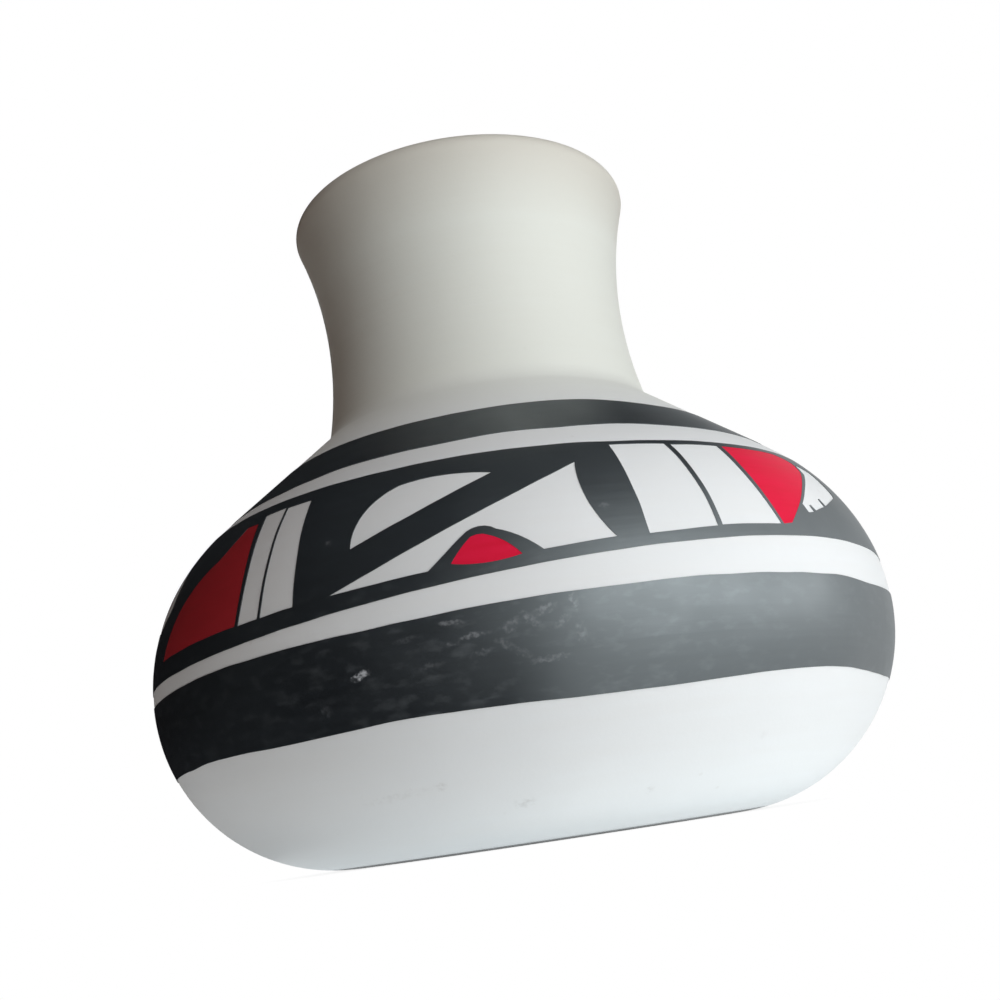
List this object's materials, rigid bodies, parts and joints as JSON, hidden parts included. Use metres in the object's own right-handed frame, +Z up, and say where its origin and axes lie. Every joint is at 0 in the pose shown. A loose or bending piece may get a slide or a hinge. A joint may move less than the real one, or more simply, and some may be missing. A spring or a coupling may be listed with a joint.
{
  "type": "pottery jar",
  "caption": "Round-bellied white pottery jar with a flared neck, painted with black bands and a shoulder frieze of black and red figures.",
  "frame": {"origin": "centre of the flat foot, on the surface the jar stands on", "axes": "+Z up along the jar's turning axis; -Y is the side that faces the camera in the picture"},
  "size_m": [0.1212, 0.1212, 0.1118],
  "materials": {
    "white_clay": "matt white slip, hand smoothed",
    "black_paint": "satin brushed black paint",
    "red_paint": "satin brushed red paint"
  },
  "bodies": {
    "root": {"base_disc": "white_clay", "bowl_wall": "white_clay", "shoulder_wall": "white_clay", "neck_and_lip": "white_clay", "black_belt_band": "black_paint", "black_collar_band": "black_paint", "black_frieze_linework": "black_paint", "red_fan_1": "red_paint", "red_fan_2": "red_paint", "red_fan_3": "red_paint", "red_dome_1": "red_paint", "red_dome_2": "red_paint", "red_dome_3": "red_paint", "red_lens_1": "red_paint", "red_lens_2": "red_paint", "red_lens_3": "red_paint"}
  },
  "joints": []
}
